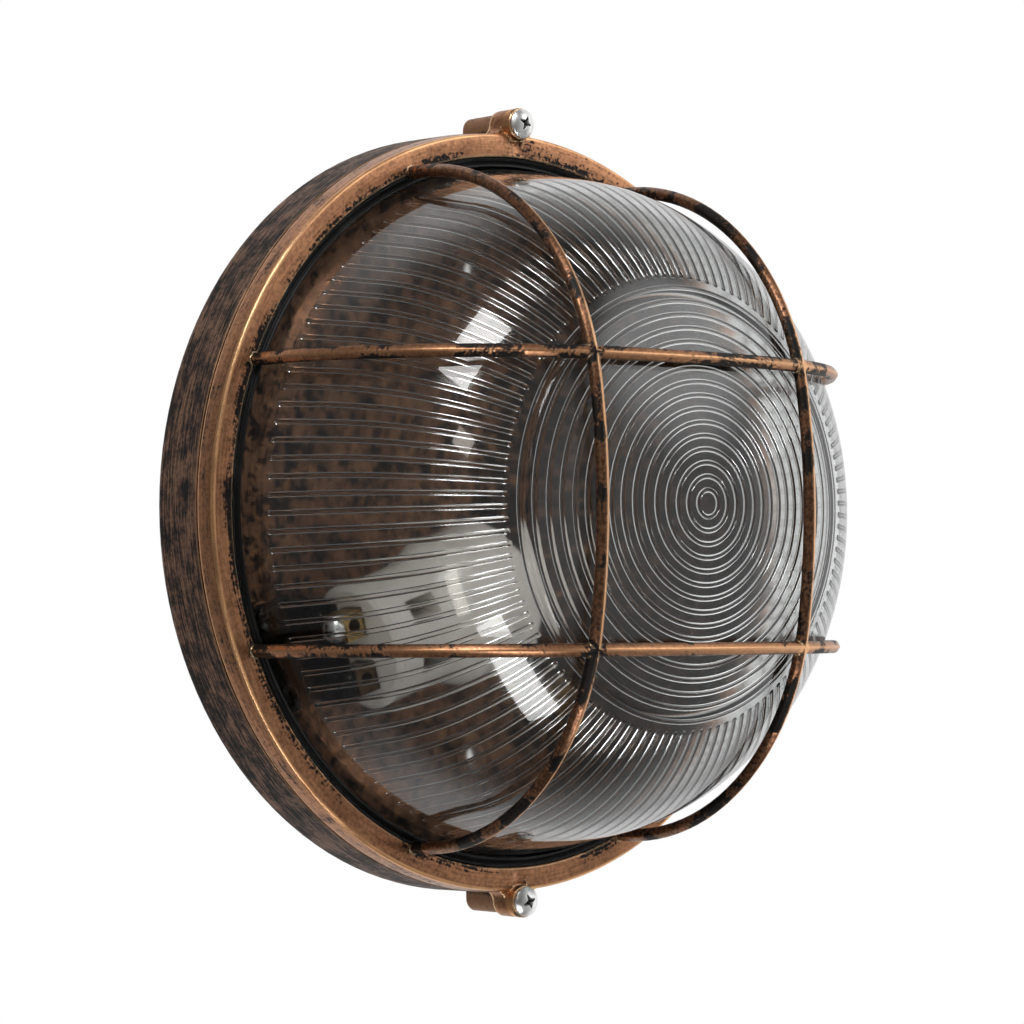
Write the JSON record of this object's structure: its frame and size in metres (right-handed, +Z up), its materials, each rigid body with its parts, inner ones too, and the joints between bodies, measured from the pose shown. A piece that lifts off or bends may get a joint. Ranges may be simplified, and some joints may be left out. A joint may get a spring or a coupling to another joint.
{
  "type": "bulkhead light",
  "caption": "Round wall light with a shallow cast pan, a caged cast cover over a ribbed clear glass dome, and an angled porcelain lampholder inside.",
  "frame": {"origin": "middle of the pan's back face, on the wall", "axes": "+Y into the wall, so the light faces -Y; +Z up along the line of the two cover screws; +X to the right as seen from the front"},
  "size_m": [0.183, 0.0877, 0.1942],
  "materials": {
    "antique_copper": "copper brushed over a dark coat, satin",
    "clear_glass": "pressed, smooth outside and ribbed inside",
    "black_rubber": "matt",
    "porcelain": "glazed",
    "brass": "bare",
    "zinc_steel": "zinc plated"
  },
  "bodies": {
    "housing": {"base_pan": "antique_copper", "lampholder_body": "porcelain", "screw_shell": "brass", "centre_contact": "brass", "contact_screw": "zinc_steel", "shell_screw": "zinc_steel", "line_terminal": "brass", "neutral_terminal": "brass", "line_terminal_screw": "zinc_steel", "neutral_terminal_screw": "zinc_steel", "lampholder_bracket": "zinc_steel", "bracket_screw_upper": "zinc_steel", "bracket_screw_lower": "zinc_steel", "lampholder_screw_upper": "zinc_steel", "lampholder_screw_lower": "zinc_steel", "cable_grommet": "black_rubber", "earth_screw": "brass", "earth_washer": "brass"},
    "cover": {"guard": "antique_copper", "glass_dome": "clear_glass", "glass_gasket": "black_rubber", "cover_screw_top": "zinc_steel", "cover_screw_bottom": "zinc_steel"}
  },
  "joints": [
    {"name": "cover_lift", "type": "slide", "parent": "housing", "child": "cover", "axis": [0, -1, 0], "range_m": [0, 0.1]}
  ]
}
